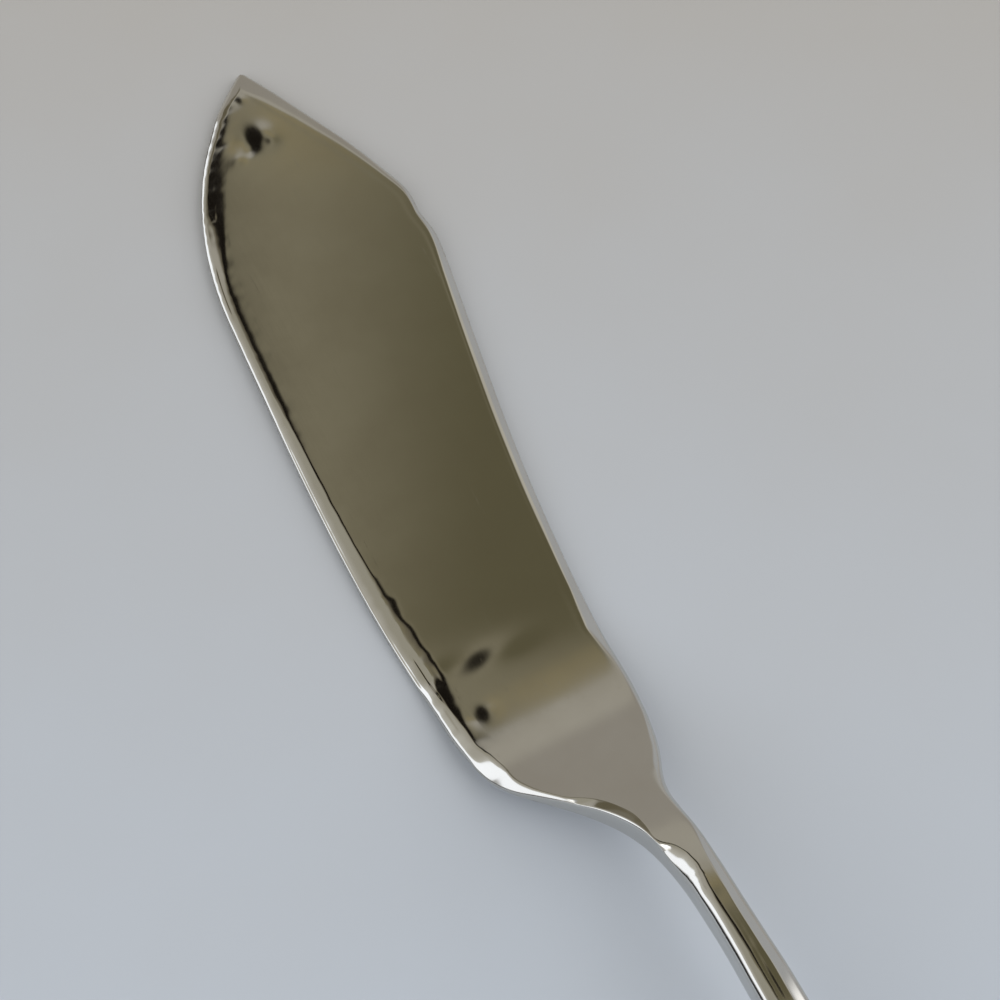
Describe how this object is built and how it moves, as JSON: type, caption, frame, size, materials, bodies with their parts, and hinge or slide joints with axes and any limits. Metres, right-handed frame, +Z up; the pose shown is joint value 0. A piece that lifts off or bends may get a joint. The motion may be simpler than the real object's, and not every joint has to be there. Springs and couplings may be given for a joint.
{
  "type": "butter knife",
  "caption": "Polished steel butter knife: flat clip-pointed blade with a notched back and bevelled rim, raised neck, slim shank and plain flat handle.",
  "frame": {"origin": "centre of the knife's footprint, on the surface that it lies on", "axes": "+X along the knife from its tip to the end of its handle, +Y from the cutting edge to the back, +Z up out of the face that shows"},
  "size_m": [0.18, 0.0232, 0.0115],
  "materials": {
    "polished_steel": "mirror-polished stainless steel with fine use scratches"
  },
  "bodies": {
    "root": {"blade": "polished_steel", "neck": "polished_steel", "handle": "polished_steel"}
  },
  "joints": []
}
